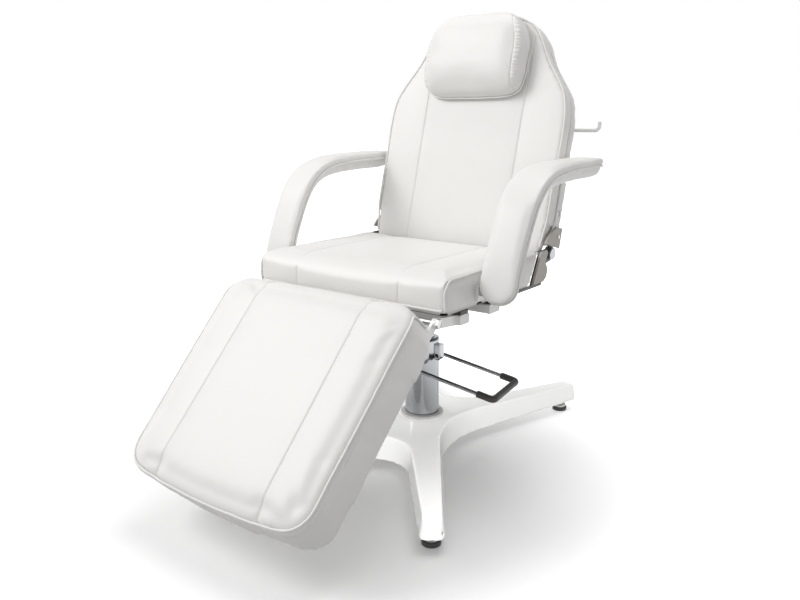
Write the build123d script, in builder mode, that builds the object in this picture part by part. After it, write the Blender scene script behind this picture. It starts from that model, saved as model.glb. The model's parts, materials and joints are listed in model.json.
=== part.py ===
from build123d import *
from math import sin, cos, radians, hypot
import os

# Hydraulic pedicure and treatment chair. +Z up, the sitter faces -Y, +X is the sitter's left.
# The origin is on the floor, on the axis the seat turns and lifts on. Millimetres.
os.makedirs("parts", exist_ok=True)

# ---- driving sizes
seat_width = 617.0
seat_height = 598.0
seat_front = -340.0
seat_rear = 117.0
base_reach = 600.0
base_turn = 8.0
back_lean = 15.0
back_length = 677.0
back_thick = 88.0
legrest_drop = 46.0
legrest_length = 570.0
legrest_thick = 96.0
arm_gap = 5.5
arm_width = 98.0

# ---- clearances
running = 0.05
free = 0.5

half_seat = seat_width / 2
deep = Mode.SUBTRACT
on_floor = (Align.CENTER, Align.CENTER, Align.MIN)
both_sides = (1, -1)


def turned(height=0.0):
    """Plane at a height, turned with the base."""
    return Plane.XY.offset(height).rotated((0, 0, base_turn))


def side(x):
    """Plane across the chair: local x is the chair's Y, local y its Z."""
    return Plane.YZ.offset(x)


# ============================================================ base
leg_spread = 60.0
leg_root_half = 63.0
leg_tip_half = 34.0
casting_draft = 8.0
casting_wall = 5.0
narrow_fillet = 100.0
wide_fillet = 300.0
hub_height = 101.0
hub_radius = 78.0
leg_top_root = 96.0
leg_top_tip = 87.0
leg_under_tip = 34.0
hub_under = 22.0
hub_under_reach = 110.0
foot_radius = base_reach - 55.0
foot_stud_r = 6.0
foot_pad_r = 23.0
foot_pad_high = 12.0
foot_cup_high = 7.0
foot_stud_top = 48.0
foot_boss_r = 13.0
foot_boss_top = leg_top_tip - 2
foot_under = 31.0
leg_angles = [leg_spread, -leg_spread, 180 - leg_spread, 180 + leg_spread]
foot_places = [
    Vector(foot_radius, 0, 0).rotate(Axis.Z, angle + base_turn) for angle in leg_angles
]


def cross_plan(inset):
    """Plan of the cross base, drawn inset from its edge, on the sketch being built."""
    for angle in leg_angles:
        with BuildSketch(Plane.XY.rotated((0, 0, angle)), mode=Mode.PRIVATE) as one_leg:
            with BuildLine() as leg_edge:
                Polyline(
                    (0, inset - leg_root_half),
                    (base_reach - inset, inset - leg_tip_half),
                    (base_reach - inset, leg_tip_half - inset),
                    (0, leg_root_half - inset),
                    close=True,
                )
            make_face(leg_edge.edges())
        add(one_leg.sketch)


def base_heights(drop):
    """Section of the base under its top surface, lowered by drop, ready to revolve."""
    with BuildSketch(Plane.XZ, mode=Mode.PRIVATE) as section:
        with BuildLine() as section_edge:
            Polyline(
                (0, hub_height - drop),
                (0, hub_under - drop),
                (hub_under_reach, hub_under - drop),
                (base_reach + 5, leg_under_tip - drop),
                (base_reach + 5, leg_top_tip - 8 - drop),
                (base_reach - 30, leg_top_tip - drop),
            )
            Spline(
                (base_reach - 30, leg_top_tip - drop),
                (350, leg_top_tip + 2.5 - drop),
                (180, leg_top_root - 3 - drop),
                (118, leg_top_root - drop),
                (hub_radius, hub_height - drop),
            )
            Line((hub_radius, hub_height - drop), (0, hub_height - drop))
        make_face(section_edge.edges())
    return section.sketch


def near(low, high):
    """Test for a vertex whose distance from the column lies between two values."""
    return lambda v: low < hypot(v.X, v.Y) < high


with BuildPart() as casting_room:
    with BuildSketch(turned()) as room_plan:
        cross_plan(casting_wall)
        fillet(room_plan.vertices().filter_by(near(85, 180)), radius=narrow_fillet)
        fillet(room_plan.vertices().filter_by(near(leg_tip_half, 85)), radius=wide_fillet)
    extrude(amount=hub_height + 10, taper=casting_draft)
    revolve(base_heights(casting_wall), axis=Axis.Z, mode=Mode.INTERSECT)

with BuildPart() as base_casting:
    with BuildSketch(turned()) as base_plan:
        cross_plan(0)
        fillet(base_plan.vertices().filter_by(near(85, 180)), radius=narrow_fillet)
        fillet(base_plan.vertices().filter_by(near(leg_tip_half, 85)), radius=wide_fillet)
        fillet(base_plan.vertices().filter_by(near(base_reach - 1, base_reach + 9)), radius=24)
    extrude(amount=hub_height + 10, taper=casting_draft)
    revolve(base_heights(0), axis=Axis.Z, mode=Mode.INTERSECT)
    add(casting_room.part, mode=deep)
    for foot in foot_places:
        with Locations((foot.X, foot.Y, 0)):
            Cylinder(foot_boss_r, foot_boss_top, align=on_floor)
            Cylinder(foot_boss_r + 1, foot_under, align=on_floor, mode=deep)
            Cylinder(foot_stud_r, foot_stud_top, align=on_floor, mode=deep)
base_casting.part.label = "base_casting"

with BuildPart() as foot_pads:
    for foot in foot_places:
        with BuildSketch(Plane.XY):
            with Locations((foot.X, foot.Y)):
                Circle(foot_pad_r)
    extrude(amount=foot_pad_high)
    fillet(foot_pads.faces().filter_by(Axis.Z).edges(), radius=1.5)
foot_pads.part.label = "foot_pads"

with BuildPart() as foot_studs:
    for foot in foot_places:
        with Locations((foot.X, foot.Y, foot_pad_high)):
            Cylinder(foot_pad_r - 4, foot_cup_high, align=on_floor)
            Cylinder(foot_stud_r, foot_stud_top - foot_pad_high, align=on_floor)
foot_studs.part.label = "foot_studs"

# ============================================================ column and pump
column_r = 50.0
column_wall = 3.0
column_top = 336.0
head_high = 36.0
ram_r = 20.0
ram_foot = 118.0
ram_top = 452.0
barrel_r = 36.0
piston_high = 32.0
barrel_bore = 24.0
collar_bore = 30.0
head_floor = 6.0
lift_travel = 150.0
head_bottom = column_top - head_high

with BuildPart() as column_collar:
    with BuildSketch(Plane.XY.offset(hub_height)):
        Circle(column_r + 14)
        Circle(column_r, mode=deep)
    extrude(amount=9)
    fillet(column_collar.edges().group_by(Axis.Z)[-1].sort_by(SortBy.RADIUS)[-1], radius=4)
column_collar.part.label = "column_collar"

with BuildPart() as column_tube:
    with BuildSketch(Plane.XY.offset(hub_height)):
        Circle(column_r)
        Circle(column_r - column_wall, mode=deep)
    extrude(amount=head_bottom - hub_height)
column_tube.part.label = "column_tube"

with BuildPart() as pump_foot:
    with BuildSketch(Plane.XY.offset(hub_height)):
        Circle(column_r - column_wall)
    extrude(amount=10)
pump_foot.part.label = "pump_foot"

with BuildPart() as pump_barrel:
    with BuildSketch(Plane.XY.offset(hub_height + 10)):
        Circle(barrel_r)
        Circle(barrel_bore, mode=deep)
    extrude(amount=head_bottom - hub_height - 10)
pump_barrel.part.label = "pump_barrel"

with BuildPart() as pump_head:
    with BuildSketch(Plane.XY.offset(head_bottom)):
        Circle(column_r)
        Circle(collar_bore, mode=deep)
    extrude(amount=head_high)
    fillet(pump_head.edges().group_by(Axis.Z)[-1].sort_by(SortBy.RADIUS)[-1], radius=8)
    with BuildSketch(Plane.XY.offset(head_bottom)):
        Circle(collar_bore)
        Circle(ram_r + 1, mode=deep)
    extrude(amount=head_floor)
pump_head.part.label = "pump_head"

# Valve housing on the pedal side of the column.
with BuildPart() as valve_housing:
    with BuildSketch(turned(273)):
        with Locations((column_r + 2, 0)):
            RectangleRounded(24, 30, 5)
        Circle(column_r, mode=deep)
    extrude(amount=45)
    chamfer(valve_housing.edges().group_by(Axis.Z)[0].group_by(Axis.X)[-1], length=5)
valve_housing.part.label = "valve_housing"

# The pedal turns in two bosses, one on each side of the column.
pedal_height = 266.0
pedal_reach = 264.0
pedal_half = column_r + 35.5
pedal_drop = 11.0
rod_r = 5.5
boss_r = 13.0
boss_out = column_r + 22
pedal_axis_dir = Vector(0, 1, 0).rotate(Axis.Z, base_turn)

with BuildPart() as pedal_bosses:
    with BuildSketch(Plane.XZ.rotated((0, 0, base_turn)).offset(-boss_out)) as boss_disc:
        with Locations((0, pedal_height)):
            Circle(boss_r)
            Circle(rod_r + running, mode=deep)
    extrude(amount=2 * boss_out)
    Cylinder(column_r, 2 * column_top, mode=deep)
pedal_bosses.part.label = "pedal_bosses"

pedal_plane = Plane(
    origin=(0, 0, pedal_height),
    x_dir=Vector(cos(radians(pedal_drop)), 0, -sin(radians(pedal_drop))).rotate(Axis.Z, base_turn),
    z_dir=Vector(sin(radians(pedal_drop)), 0, cos(radians(pedal_drop))).rotate(Axis.Z, base_turn),
)
pin_in = column_r + 6
with BuildPart() as pedal_rods:
    with BuildLine(pedal_plane) as rod_path:
        FilletPolyline(
            (0, pin_in),
            (0, pedal_half),
            (pedal_reach, pedal_half),
            (pedal_reach, -pedal_half),
            (0, -pedal_half),
            (0, -pin_in),
            radius=12,
        )
    with BuildSketch(Plane(origin=rod_path.line @ 0, z_dir=rod_path.line % 0)):
        Circle(rod_r)
    sweep()
pedal_rods.part.label = "pedal_rods"

grip_r = 9.5
grip_along = 48.0
with BuildPart() as pedal_grip:
    with BuildLine(pedal_plane) as grip_path:
        FilletPolyline(
            (pedal_reach - grip_along, pedal_half),
            (pedal_reach, pedal_half),
            (pedal_reach, -pedal_half),
            (pedal_reach - grip_along, -pedal_half),
            radius=12,
        )
    with BuildSketch(Plane(origin=grip_path.line @ 0, z_dir=grip_path.line % 0)):
        Circle(grip_r)
        Circle(rod_r, mode=deep)
    sweep()
pedal_grip.part.label = "pedal_grip"

# Swivel collar: turns in the pump head and guides the ram.
with BuildPart() as swivel_collar:
    with BuildSketch(Plane.XY.offset(head_bottom + head_floor + free)):
        Circle(collar_bore - running)
    extrude(amount=column_top - head_bottom - head_floor - free + 0.3)
    with BuildSketch(Plane.XY.offset(column_top + 0.3)):
        Circle(collar_bore + 5)
    extrude(amount=9)
    fillet(swivel_collar.edges().group_by(Axis.Z)[-1], radius=2.5)
    Cylinder(ram_r + running, 2 * (column_top + 20), mode=deep)
swivel_collar.part.label = "swivel_collar"

# ============================================================ seat frame
board_under = 510.0
board_thick = 12.0
board_top = board_under + board_thick
skin_plate = 2.0
tube_high = 24.0
tube_top = 498.0
tube_under = tube_top - tube_high
rail_high = 14.0
plate_thick = 8.0
rail_under = tube_under - rail_high
tube_half = half_seat - 12.5
front_tube_y = -247.0
rear_tube_y = -108.0
tail_tube_y = 72.0
board_inset = 14.0

with BuildPart() as ram:
    with BuildSketch(Plane.XY.offset(ram_foot)):
        Circle(ram_r)
    extrude(amount=ram_top - ram_foot)
ram.part.label = "ram"

with BuildPart() as ram_piston:
    with BuildSketch(Plane.XY.offset(ram_foot)):
        Circle(barrel_bore - running)
        Circle(ram_r, mode=deep)
    extrude(amount=piston_high)
ram_piston.part.label = "ram_piston"

plate_half = 120.0
bolt_grid = 190.0
rail_x = 90.0
with BuildPart() as mount_plate:
    with BuildSketch(Plane.XY.offset(rail_under - plate_thick)):
        RectangleRounded(2 * plate_half, 2 * plate_half, 12)
        with GridLocations(2 * rail_x, bolt_grid, 2, 2):
            Circle(5, mode=deep)
    extrude(amount=plate_thick)
mount_plate.part.label = "mount_plate"

with BuildPart() as ram_socket:
    with BuildSketch(Plane.XY.offset(ram_top - 34)):
        Circle(ram_r + 14)
        Circle(ram_r, mode=deep)
    extrude(amount=34)
ram_socket.part.label = "ram_socket"

with BuildPart() as frame_rails:
    with BuildSketch(Plane.XY.offset(rail_under)):
        with Locations((0, (front_tube_y + tail_tube_y) / 2)):
            with GridLocations(2 * rail_x, 0, 2, 1):
                Rectangle(40, tail_tube_y - front_tube_y + 40)
        with GridLocations(2 * rail_x, bolt_grid, 2, 2):
            Circle(5, mode=deep)
    extrude(amount=rail_high)
frame_rails.part.label = "frame_rails"

with BuildPart() as mount_bolts:
    with BuildSketch(Plane.XY.offset(rail_under - plate_thick)):
        with GridLocations(2 * rail_x, bolt_grid, 2, 2):
            Circle(5)
    extrude(amount=plate_thick + rail_high)
    with BuildSketch(Plane.XY.offset(rail_under - plate_thick)):
        with GridLocations(2 * rail_x, bolt_grid, 2, 2):
            RegularPolygon(9, 6)
    extrude(amount=-6)
mount_bolts.part.label = "mount_bolts"


def box_tube(y, wide, half_length):
    """Rectangular tube across the chair, added to the part being built."""
    with BuildSketch(side(-half_length)) as tube_end:
        with Locations((y, tube_top - tube_high / 2)):
            RectangleRounded(wide, tube_high, 3)
            RectangleRounded(wide - 4, tube_high - 4, 1.5, mode=deep)
    extrude(tube_end.sketch, amount=2 * half_length)


with BuildPart() as front_cross_tube:
    box_tube(front_tube_y, 40, tube_half)
front_cross_tube.part.label = "front_cross_tube"

with BuildPart() as rear_cross_tube:
    box_tube(rear_tube_y, 50, tube_half)
rear_cross_tube.part.label = "rear_cross_tube"

with BuildPart() as tail_cross_tube:
    box_tube(tail_tube_y, 30, 140)
tail_cross_tube.part.label = "tail_cross_tube"

with BuildPart() as tube_plugs:
    for way in both_sides:
        for tube_y, wide in ((front_tube_y, 40), (rear_tube_y, 50)):
            with BuildSketch(side(way * tube_half)):
                with Locations((tube_y, tube_top - tube_high / 2)):
                    RectangleRounded(wide, tube_high, 3)
            extrude(amount=way * 2)
            with BuildSketch(side(way * tube_half)):
                with Locations((tube_y, tube_top - tube_high / 2)):
                    RectangleRounded(wide - 4, tube_high - 4, 1.5)
            extrude(amount=-way * 12)
tube_plugs.part.label = "tube_plugs"

buffer_high = board_under - skin_plate - tube_top
with BuildPart() as seat_buffers:
    with BuildSketch(Plane.XY.offset(tube_top)):
        for tube_y in (front_tube_y, rear_tube_y):
            with Locations((0, tube_y)):
                with GridLocations(2 * (tube_half - 16), 0, 2, 1):
                    Rectangle(34, 32)
                with GridLocations(2 * rail_x, 0, 2, 1):
                    Rectangle(34, 32)
        with Locations((0, tail_tube_y - 14)):
            with GridLocations(2 * rail_x, 0, 2, 1):
                Rectangle(34, 18)
    extrude(amount=buffer_high)
seat_buffers.part.label = "seat_buffers"

board_front = seat_front + board_inset
board_rear = seat_rear - 49
with BuildPart() as seat_underplate:
    with BuildSketch(Plane.XY.offset(board_under - skin_plate)):
        with Locations((0, (board_front + board_rear) / 2)):
            RectangleRounded(2 * (half_seat - board_inset), board_rear - board_front, 10)
    extrude(amount=skin_plate)
seat_underplate.part.label = "seat_underplate"

with BuildPart() as seat_board:
    with BuildSketch(Plane.XY.offset(board_under)):
        with Locations((0, (board_front + board_rear) / 2)):
            RectangleRounded(2 * (half_seat - board_inset), board_rear - board_front, 10)
    extrude(amount=board_thick)
seat_board.part.label = "seat_board"

# Square sockets for the armrests lie across the seat, on the board.
stub_size = 20.0
socket_y = stub_size / 2 - 199
socket_z = 545.0
socket_gap = 0.3
socket_wall = 3.2
socket_out = half_seat - 2.5
socket_in = half_seat - 118.5
socket_half = stub_size / 2 + socket_gap + socket_wall
with BuildPart() as arm_sockets:
    for way in both_sides:
        with BuildSketch(side(way * socket_in)):
            with Locations((socket_y, (socket_z + socket_half + board_top) / 2)):
                Rectangle(2 * socket_half, socket_z + socket_half - board_top)
            with Locations((socket_y, socket_z)):
                Rectangle(stub_size + 2 * socket_gap, stub_size + 2 * socket_gap, mode=deep)
        extrude(amount=way * (socket_out - socket_in))
arm_sockets.part.label = "arm_sockets"

seat_rake = 0.54
with BuildPart() as seat_cushion:
    with BuildSketch(side(-half_seat)) as seat_profile:
        with BuildLine():
            Polyline(
                (seat_front + 3, board_top),
                (seat_front, board_top + 12),
                (seat_front, seat_height),
                (seat_rear, seat_height),
                (seat_rear - seat_rake * (seat_height - board_top), board_top),
                close=True,
            )
        make_face()
        nose = seat_profile.vertices().sort_by(Axis.Y)[-2:].sort_by(Axis.X)[0]
        fillet(nose, radius=24)
    extrude(amount=seat_width)
    front_corners = seat_cushion.edges().filter_by(Axis.Z).group_by(Axis.Y)[0]
    fillet(front_corners, radius=14)
    for way in both_sides:
        with BuildSketch(side(way * socket_in)):
            with Locations((socket_y, (socket_z + socket_half + board_top) / 2)):
                Rectangle(2 * socket_half, socket_z + socket_half - board_top)
        extrude(amount=way * (half_seat - socket_in + 1), mode=deep)
seat_cushion.part.label = "seat_cushion"

# ============================================================ back hinge
back_foot_y = 145.0
back_foot_z = seat_height
lean_sin = sin(radians(back_lean))
lean_cos = cos(radians(back_lean))
pivot_up = -4.0
pivot_in = 50.0
pivot_y = back_foot_y + pivot_up * lean_sin + pivot_in * lean_cos
pivot_z = back_foot_z + pivot_up * lean_cos - pivot_in * lean_sin
pivot_r = 8.0
back_half = half_seat - 5.5
arm_plate_in = back_half - 17
plate = 5.0
bracket_in = arm_plate_in + plate + free
bracket_out = bracket_in + plate
cover_out = bracket_out + free + 6


def back_front(depth=0.0):
    """Plane parallel to the back's face, depth behind it; local y runs up the back."""
    return Plane(
        origin=(0, back_foot_y + depth * lean_cos, back_foot_z - depth * lean_sin),
        x_dir=(-1, 0, 0),
        z_dir=(0, lean_cos, -lean_sin),
    )


def back_side(x):
    """Plane across the back: local x is the depth behind its face, local y runs up it."""
    return Plane(
        origin=(x, back_foot_y, back_foot_z),
        x_dir=(0, lean_cos, -lean_sin),
        z_dir=(1, 0, 0),
    )


with BuildPart() as rear_brackets:
    for way in both_sides:
        with BuildSketch(side(way * bracket_in)):
            with BuildLine():
                Polyline(
                    (-10, 500),
                    (143, 500),
                    (163, 538),
                    (158, 556),
                    (pivot_y, pivot_z - 20),
                    (pivot_y, pivot_z + 18),
                    (150, 596),
                    (125, 588),
                    (84, 508),
                    (-10, 508),
                    close=True,
                )
            make_face()
            with Locations((pivot_y, pivot_z)):
                Circle(20)
                Circle(pivot_r, mode=deep)
        extrude(amount=way * plate)
rear_brackets.part.label = "rear_brackets"

with BuildPart() as bracket_covers:
    for way in both_sides:
        with BuildSketch(side(way * bracket_out)):
            with BuildLine():
                Polyline(
                    (86, 511),
                    (144, 511),
                    (160, 521),
                    (168, 540),
                    (161, 552),
                    (153, 562),
                    (158, 574),
                    (167, 588),
                    (160, 596),
                    (129, 594),
                    close=True,
                )
            make_face()
        extrude(amount=way * (cover_out - bracket_out))
    fillet(bracket_covers.edges().filter_by(Axis.X), radius=2)
bracket_covers.part.label = "bracket_covers"

with BuildPart() as pivot_bolts:
    for way in both_sides:
        with BuildSketch(side(way * (arm_plate_in - free))):
            with Locations((pivot_y, pivot_z)):
                Circle(pivot_r)
        extrude(amount=way * (bracket_out - arm_plate_in + free))
        with BuildSketch(side(way * (arm_plate_in - free))):
            with Locations((pivot_y, pivot_z)):
                RegularPolygon(12, 6)
        extrude(amount=-way * 5)
pivot_bolts.part.label = "pivot_bolts"

with BuildPart() as pivot_caps:
    for way in both_sides:
        with BuildSketch(side(way * bracket_out)):
            with Locations((pivot_y, pivot_z)):
                Circle(17)
        extrude(amount=way * 9)
    fillet(pivot_caps.edges().group_by(Axis.X)[-1], radius=2.5)
    fillet(pivot_caps.edges().group_by(Axis.X)[0], radius=2.5)
pivot_caps.part.label = "pivot_caps"

# ============================================================ back
arm_up = 130.0
cross_up = 110.0
cross_in = 60.0
with BuildPart() as back_hinge_arms:
    for x0 in (arm_plate_in, -arm_plate_in - plate):
        with BuildSketch(back_side(x0)):
            with BuildLine():
                Polyline(
                    (pivot_in - 16, pivot_up),
                    (pivot_in + 16, pivot_up),
                    (84, 50),
                    (84, arm_up),
                    (pivot_in, arm_up),
                    (pivot_in, 24),
                    close=True,
                )
            make_face()
            with Locations((pivot_in, pivot_up)):
                Circle(20)
                Circle(pivot_r + running, mode=deep)
        extrude(amount=plate)
back_hinge_arms.part.label = "back_hinge_arms"

with BuildPart() as back_cross_bar:
    with BuildSketch(back_side(-arm_plate_in)):
        with Locations((cross_in + 8, cross_up)):
            Rectangle(16, 30)
            Rectangle(12, 26, mode=deep)
    extrude(amount=2 * arm_plate_in)
back_cross_bar.part.label = "back_cross_bar"

# Half widths of the back against the distance up it, for a back of the usual width.
back_outline_half = 303.0
back_outline = [
    (291, 23),
    (293, 80),
    (298, 176),
    (303, 300),
    (300, 380),
    (287, 433),
    (255, 482),
    (212, 548),
    (186, 600),
    (159, 632),
    (114, 655),
    (60, 671),
    (0, back_length),
]


def back_shape(inset):
    """Outline of the back, drawn inset from its edge, on the sketch being built."""
    wider = back_half / back_outline_half
    right = [
        (x * wider - inset * (x > 0), up - (inset if up > 600 else 0)) for x, up in back_outline
    ]
    left = [(-x, up) for x, up in reversed(right[:-1])]
    low = arm_plate_in - inset
    with BuildLine() as edge:
        Spline(*right, *left)
        Polyline(right[0], (low, 4), (low - 12, -8), (12 - low, -8), (-low, 4), left[-1])
    make_face(edge.edges())


cushion_in = 48.0
board_in = cushion_in + board_thick
with BuildPart() as back_cushion:
    with BuildSketch(back_front()):
        back_shape(0)
    extrude(amount=cushion_in)
    for x0 in (arm_plate_in - 6, -arm_plate_in - 34):
        with BuildSketch(back_side(x0)):
            with Locations((43, 1)):
                Rectangle(34, 42)
        extrude(amount=40, mode=deep)
    with BuildSketch(back_side(-half_seat)):
        with Locations((44, -3)):
            Rectangle(32, 34)
    extrude(amount=seat_width, mode=deep)
back_cushion.part.label = "back_cushion"


def hinge_relief():
    """Clear the board and the rear pad of the hinge arms and of the hinge itself."""
    for x0 in (arm_plate_in - 2, -arm_plate_in - 38):
        with BuildSketch(back_side(x0)) as arm_room:
            with Locations((70, 58)):
                Rectangle(60, 156)
        extrude(arm_room.sketch, amount=40, mode=deep)
    with BuildSketch(back_side(-half_seat)) as hinge_room:
        with Locations((70, -3)):
            Rectangle(60, 34)
    extrude(hinge_room.sketch, amount=seat_width, mode=deep)


with BuildPart() as back_board:
    with BuildSketch(back_front(cushion_in)):
        back_shape(6)
    extrude(amount=board_thick)
    hinge_relief()
back_board.part.label = "back_board"

with BuildPart() as back_rear_pad:
    with BuildSketch(back_front(board_in)):
        back_shape(3)
    extrude(amount=back_thick - board_in)
    hinge_relief()
    with BuildSketch(back_side(-arm_plate_in)):
        with Locations((cross_in + 8, cross_up)):
            Rectangle(16, 30)
    extrude(amount=2 * arm_plate_in, mode=deep)
back_rear_pad.part.label = "back_rear_pad"

screw_at = (72, 46)
with BuildPart() as hinge_covers:
    for way in both_sides:
        with BuildSketch(back_side(way * (bracket_out + free))):
            with BuildLine():
                ThreePointArc((0, 16), (30, 55), (back_thick, 72))
                Polyline((back_thick, 72), (back_thick, 16), (0, 16))
            make_face()
            with Locations(screw_at):
                Circle(3, mode=deep)
        extrude(amount=way * (cover_out - bracket_out - free))
hinge_covers.part.label = "hinge_covers"

with BuildPart() as cover_screws:
    for way in both_sides:
        with BuildSketch(back_side(way * (arm_plate_in + plate))):
            with Locations(screw_at):
                Circle(3)
        extrude(amount=way * (cover_out - arm_plate_in - plate))
        with BuildSketch(back_side(way * (arm_plate_in + plate))):
            with Locations(screw_at):
                Circle(6)
        extrude(amount=way * (bracket_out + free - arm_plate_in - plate))
        with BuildSketch(back_side(way * cover_out)):
            with Locations(screw_at):
                Circle(5.5)
        extrude(amount=way * 1.6)
cover_screws.part.label = "cover_screws"

# Bar for a paper roll or a towel, behind the back.
bar_r = 5.0
bar_up = 357.0
bar_in = back_thick + 28.0
bar_half = half_seat + 43.5
bar_tip = 24.0
bar_y = back_foot_y + bar_up * lean_sin + bar_in * lean_cos
bar_z = back_foot_z + bar_up * lean_cos - bar_in * lean_sin
bar_bracket_x = 240.0
with BuildPart() as roll_bar:
    with BuildLine() as bar_path:
        FilletPolyline(
            (-bar_half, bar_y, bar_z + bar_tip),
            (-bar_half, bar_y, bar_z),
            (bar_half, bar_y, bar_z),
            (bar_half, bar_y, bar_z + bar_tip),
            radius=14,
        )
    with BuildSketch(Plane(origin=bar_path.line @ 0, z_dir=bar_path.line % 0)):
        Circle(bar_r)
    sweep()
roll_bar.part.label = "roll_bar"

with BuildPart() as bar_brackets:
    for x0 in (bar_bracket_x - 8, -bar_bracket_x - 8):
        with BuildSketch(back_side(x0)):
            with Locations(((back_thick + bar_in) / 2, bar_up)):
                Rectangle(bar_in - back_thick, 20)
            with Locations((bar_in, bar_up)):
                Circle(10)
                Circle(bar_r, mode=deep)
        extrude(amount=16)
        with BuildSketch(back_side(x0)):
            with Locations((back_thick + 2, bar_up)):
                Rectangle(4, 60)
        extrude(amount=16)
bar_brackets.part.label = "bar_brackets"

with BuildPart() as bar_screws:
    with BuildSketch(back_front(back_thick + 4)):
        with Locations((0, bar_up)):
            with GridLocations(2 * bar_bracket_x, 44, 2, 2):
                Circle(4.5)
    extrude(amount=2.4)
bar_screws.part.label = "bar_screws"

# ============================================================ pillow
pillow_half = 168.0
pillow_low = 417.0
pillow_high = 661.0
pillow_thick = 70.0
tape = 1.0
with BuildPart() as pillow:
    with BuildSketch(back_front(-0.3 - tape)):
        with Locations((0, (pillow_low + pillow_high) / 2)):
            RectangleRounded(2 * pillow_half, pillow_high - pillow_low, 52)
    extrude(amount=-pillow_thick)
    fillet(pillow.faces().sort_by(Axis.Y)[0].edges(), radius=24)
pillow.part.label = "pillow"

with BuildPart() as pillow_tapes:
    with BuildSketch(back_front(-0.3)):
        with Locations((0, 560)):
            with GridLocations(160, 0, 2, 1):
                Rectangle(40, 150)
    extrude(amount=-tape)
pillow_tapes.part.label = "pillow_tapes"

# ============================================================ legrest
leg_y = -356.0
leg_z = 498.0
drop_sin = sin(radians(legrest_drop))
drop_cos = cos(radians(legrest_drop))
knee_out = -4.8
knee_under = -10.7
knee_y = leg_y - knee_out * drop_cos - knee_under * drop_sin
knee_z = leg_z - knee_out * drop_sin + knee_under * drop_cos
knee_r = 8.0
leg_half_low = half_seat - 14
foot_bow = 20.0


def leg_front(height=0.0):
    """Plane parallel to the legrest's face, above its rear face; local y runs up it."""
    return Plane(
        origin=(0, leg_y - height * drop_sin, leg_z + height * drop_cos),
        x_dir=(1, 0, 0),
        z_dir=(0, -drop_sin, drop_cos),
    )


def leg_side(x):
    """Plane across the legrest: local x runs down it, local y is its thickness."""
    return Plane(origin=(x, leg_y, leg_z), x_dir=(0, -drop_cos, -drop_sin), z_dir=(-1, 0, 0))


def leg_shape(inset):
    """Outline of the legrest, narrower at the foot end, on the sketch being built."""
    with BuildLine() as edge:
        Polyline(
            (half_seat - inset, -inset),
            (leg_half_low - inset, inset + foot_bow - legrest_length),
        )
        ThreePointArc(
            (leg_half_low - inset, inset + foot_bow - legrest_length),
            (0, inset - legrest_length),
            (inset - leg_half_low, inset + foot_bow - legrest_length),
        )
        Polyline(
            (inset - leg_half_low, inset + foot_bow - legrest_length),
            (inset - half_seat, -inset),
            (half_seat - inset, -inset),
        )
    make_face(edge.edges())


knee_plate_in = half_seat - 32.5
knee_plate = 7.0
knee_bracket_in = knee_plate_in + knee_plate + free
with BuildPart() as legrest_brackets:
    for way in both_sides:
        with BuildSketch(side(way * knee_bracket_in)):
            with BuildLine():
                Polyline(
                    (front_tube_y - 20, tube_under),
                    (front_tube_y - 20, tube_top),
                    (knee_y, knee_z + 12),
                    (knee_y, knee_z - 12),
                    close=True,
                )
            make_face()
            with Locations((knee_y, knee_z)):
                Circle(12)
                Circle(knee_r, mode=deep)
        extrude(amount=way * plate)
legrest_brackets.part.label = "legrest_brackets"

shaft_half = knee_bracket_in + plate + 5
with BuildPart() as legrest_shaft:
    with BuildSketch(side(-shaft_half)):
        with Locations((knee_y, knee_z)):
            Circle(knee_r)
    extrude(amount=2 * shaft_half)
legrest_shaft.part.label = "legrest_shaft"

with BuildPart() as shaft_nuts:
    for way in both_sides:
        with BuildSketch(side(way * (knee_bracket_in + plate))):
            with Locations((knee_y, knee_z)):
                RegularPolygon(12, 6)
                Circle(knee_r, mode=deep)
        extrude(amount=way * 6)
shaft_nuts.part.label = "shaft_nuts"

with BuildPart() as legrest_hinge_arms:
    for x0 in (knee_plate_in + knee_plate, -knee_plate_in):
        with BuildSketch(leg_side(x0)):
            with BuildLine():
                Polyline((knee_out, -22), (150, -8), (150, 0), (8, 0), (knee_out, 1), close=True)
            make_face()
            with Locations((knee_out, knee_under)):
                Circle(11.6)
                Circle(knee_r + running, mode=deep)
        extrude(amount=knee_plate)
    for x0 in (knee_plate_in, -knee_plate_in + 30):
        with BuildSketch(leg_side(x0)):
            with BuildLine():
                Polyline((20, -3), (150, -3), (150, 0), (20, 0), close=True)
            make_face()
        extrude(amount=30)
legrest_hinge_arms.part.label = "legrest_hinge_arms"

leg_board_inset = 12.0
leg_board_thick = 14.0
with BuildPart() as legrest_board:
    with BuildSketch(leg_front()) as board_plan:
        leg_shape(leg_board_inset)
        fillet(board_plan.vertices().group_by(Axis.Z)[0], radius=60)
    extrude(amount=leg_board_thick)
legrest_board.part.label = "legrest_board"

with BuildPart() as legrest_cushion:
    with BuildSketch(leg_front(leg_board_thick)) as cushion_plan:
        leg_shape(0)
        fillet(cushion_plan.vertices().group_by(Axis.Z)[0], radius=72)
    extrude(amount=legrest_thick - leg_board_thick)
    top_end = legrest_cushion.edges().filter_by(Axis.X).sort_by(Axis.Z)[-1]
    fillet(top_end, radius=30)
legrest_cushion.part.label = "legrest_cushion"

with BuildPart() as legrest_screws:
    for x0 in (knee_plate_in - 15, -knee_plate_in + 15):
        with BuildSketch(leg_front(-3)):
            with Locations((x0, -50), (x0, -120)):
                Circle(5)
        extrude(amount=-3)
legrest_screws.part.label = "legrest_screws"

# ============================================================ armrests
arm_in = half_seat + arm_gap
arm_crown = 18.0
core_thick = 10.0
arm_base = 28.0
arm_path = [
    (-209, 523),
    (-205, 538),
    (-186, 606),
    (-164, 661),
    (-140, 712),
    (-112, 756),
    (-74, 789),
    (-26, 808),
    (54, 818),
    (160, 822),
    (285, 824),
]


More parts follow.
